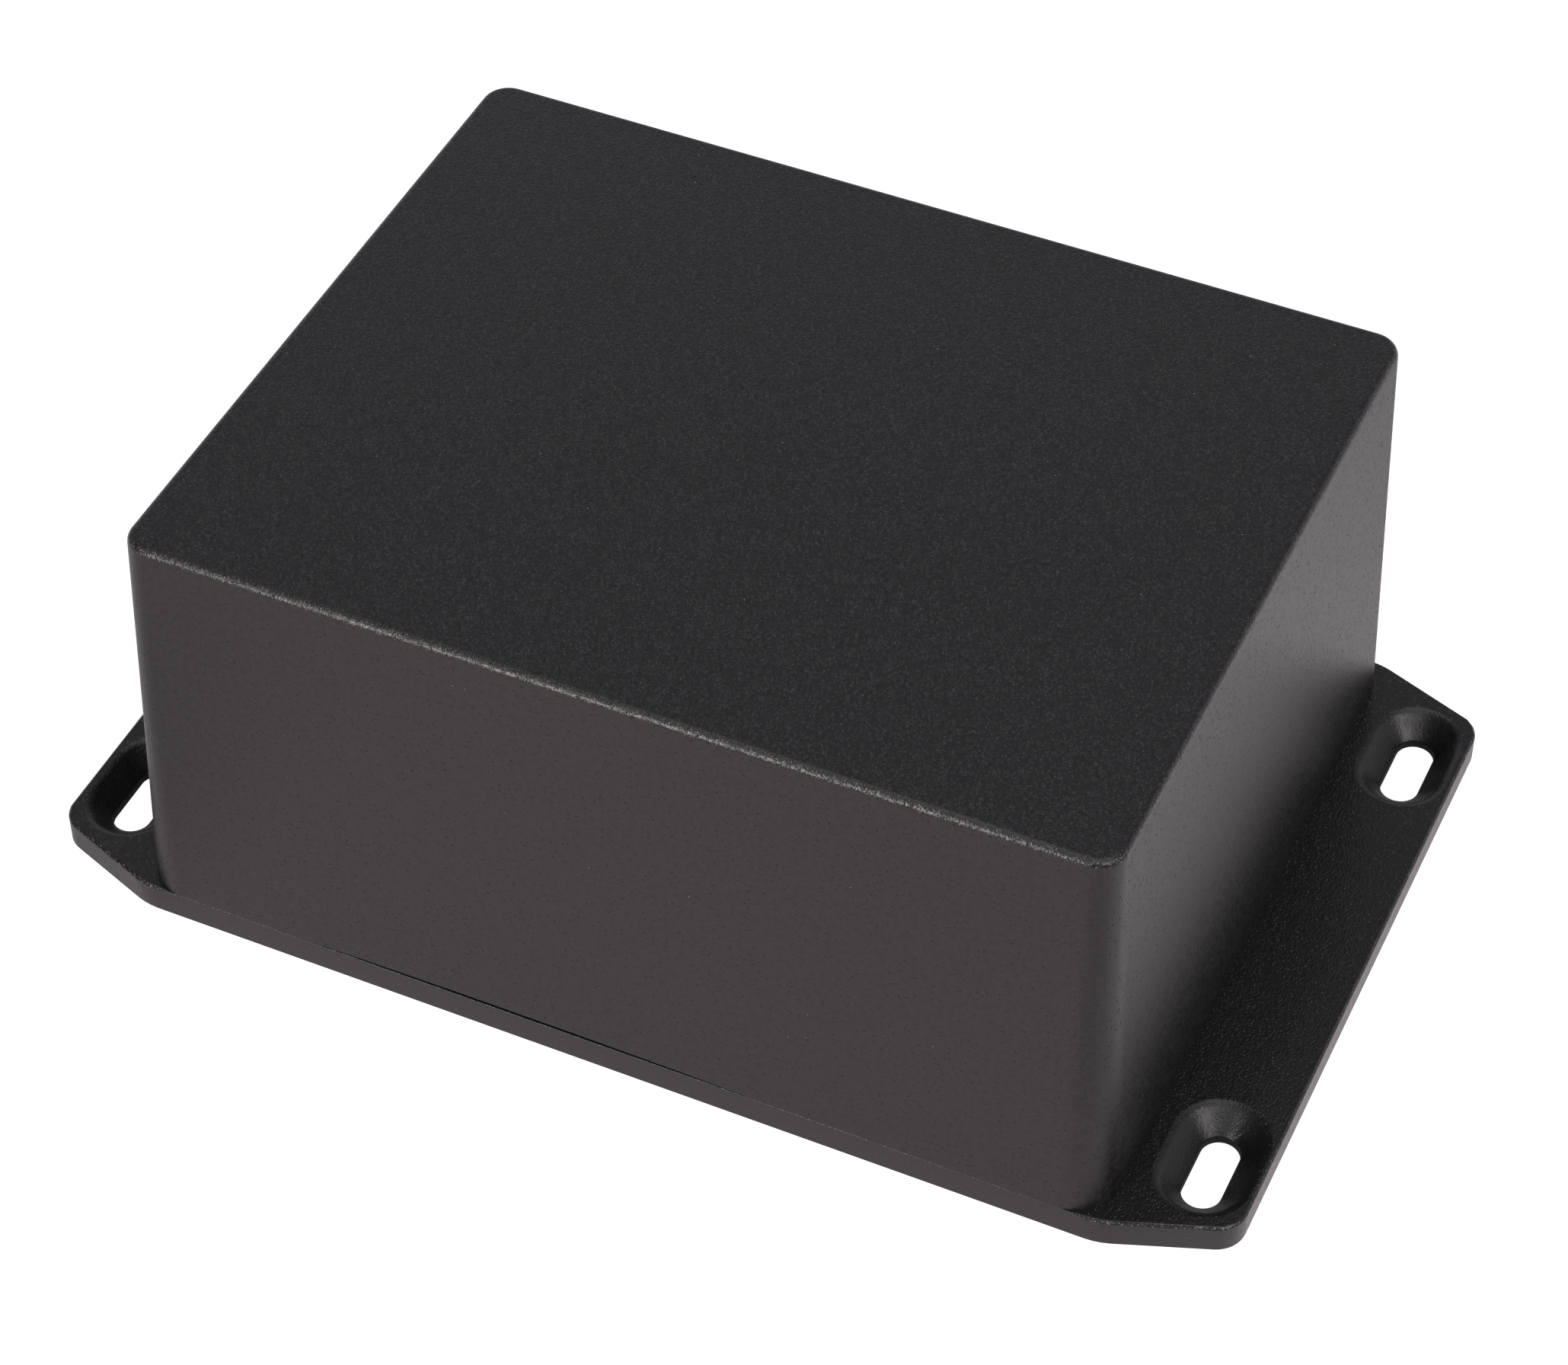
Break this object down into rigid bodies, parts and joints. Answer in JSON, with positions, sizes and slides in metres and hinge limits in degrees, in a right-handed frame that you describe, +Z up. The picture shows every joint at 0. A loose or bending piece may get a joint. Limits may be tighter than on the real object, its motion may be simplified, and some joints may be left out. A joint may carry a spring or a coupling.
{
  "type": "flanged die cast enclosure",
  "caption": "Rectangular die cast aluminium box with leaning walls on a flanged lid with countersunk slots, screwed from below and powder coated black.",
  "frame": {"origin": "middle of the lid's flat underside, which is the lowest face", "axes": "+Z up towards the box's closed end, +Y along the length with an ear at each end, +X across the width"},
  "size_m": [0.0938, 0.1476, 0.0569],
  "materials": {
    "box_coat": "fine-textured black powder coat on cast aluminium",
    "lid_coat": "fine-textured black powder coat on cast aluminium",
    "screw_zinc": "bright zinc plating"
  },
  "bodies": {
    "root": {"box_casting": "box_coat", "flanged_lid": "lid_coat", "lid_screws": "screw_zinc"}
  },
  "joints": []
}
